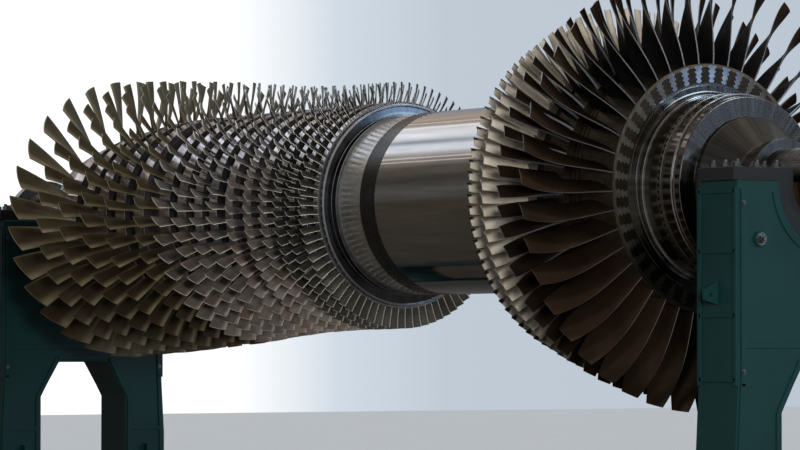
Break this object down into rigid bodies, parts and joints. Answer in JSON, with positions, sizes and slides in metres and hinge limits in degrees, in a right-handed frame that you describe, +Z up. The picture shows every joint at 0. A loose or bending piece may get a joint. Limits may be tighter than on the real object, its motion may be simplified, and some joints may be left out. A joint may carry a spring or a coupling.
{
  "type": "gas turbine rotor on a workshop stand",
  "caption": "Gas turbine rotor with bladed compressor and turbine wheels and a polished centre drum, lying in half-round saddles on a low steel stand.",
  "frame": {"origin": "on the floor under the middle of the rotor's length, between the two stand rails", "axes": "+X along the rotor towards the turbine end, +Z up, the picture is taken from the -Y side"},
  "size_m": [11.4, 3.3034, 4.5074],
  "materials": {
    "front_blades": "satin, olive brown tint",
    "steel_blades": "satin, dark",
    "coated_blades": "matt cream ceramic coat",
    "dark_blades": "dark heat-tinted",
    "polished_steel": "turned and polished",
    "matte_band": "matt dark brown",
    "shaft_steel": "turned, dark",
    "dark_steel": "blackened steel",
    "bearing_metal": "machined",
    "teal_paint": "semi-gloss machine paint"
  },
  "bodies": {
    "stand": {"stand_rail_near": "teal_paint", "stand_rail_far": "teal_paint", "stand_cross_front": "teal_paint", "stand_cross_mid_front": "teal_paint", "stand_cross_mid_rear": "teal_paint", "stand_cross_rear": "teal_paint", "front_pedestal": "teal_paint", "rear_pedestal": "teal_paint", "front_saddle": "dark_steel", "rear_saddle": "dark_steel", "front_bearing_shell": "bearing_metal", "rear_bearing_shell": "bearing_metal"},
    "rotor": {"compressor_stage_01": "front_blades", "compressor_stage_02": "front_blades", "compressor_stage_03": "front_blades", "compressor_stage_04": "front_blades", "compressor_stage_05": "front_blades", "compressor_stage_06": "front_blades", "compressor_stage_07": "steel_blades", "compressor_stage_08": "steel_blades", "compressor_stage_09": "steel_blades", "compressor_stage_10": "steel_blades", "compressor_stage_11": "steel_blades", "compressor_stage_12": "steel_blades", "compressor_stage_13": "steel_blades", "compressor_stage_14": "steel_blades", "compressor_stage_15": "steel_blades", "compressor_stage_16": "steel_blades", "turbine_stage_1": "coated_blades", "turbine_stage_2": "coated_blades", "turbine_stage_3": "dark_blades", "turbine_stage_4": "dark_blades", "inlet_cone": "shaft_steel", "front_shaft": "shaft_steel", "front_coupling": "shaft_steel", "exit_ring": "polished_steel", "drum_front": "polished_steel", "drum_band": "matte_band", "drum_main": "polished_steel", "rear_drum": "shaft_steel", "rear_shaft": "shaft_steel", "tie_rod_nut": "dark_steel"}
  },
  "joints": [
    {"name": "rotor_spin", "type": "hinge", "parent": "stand", "child": "rotor", "pos_m": [0, 0, 2.86], "axis": [1, 0, 0], "continuous": true}
  ]
}
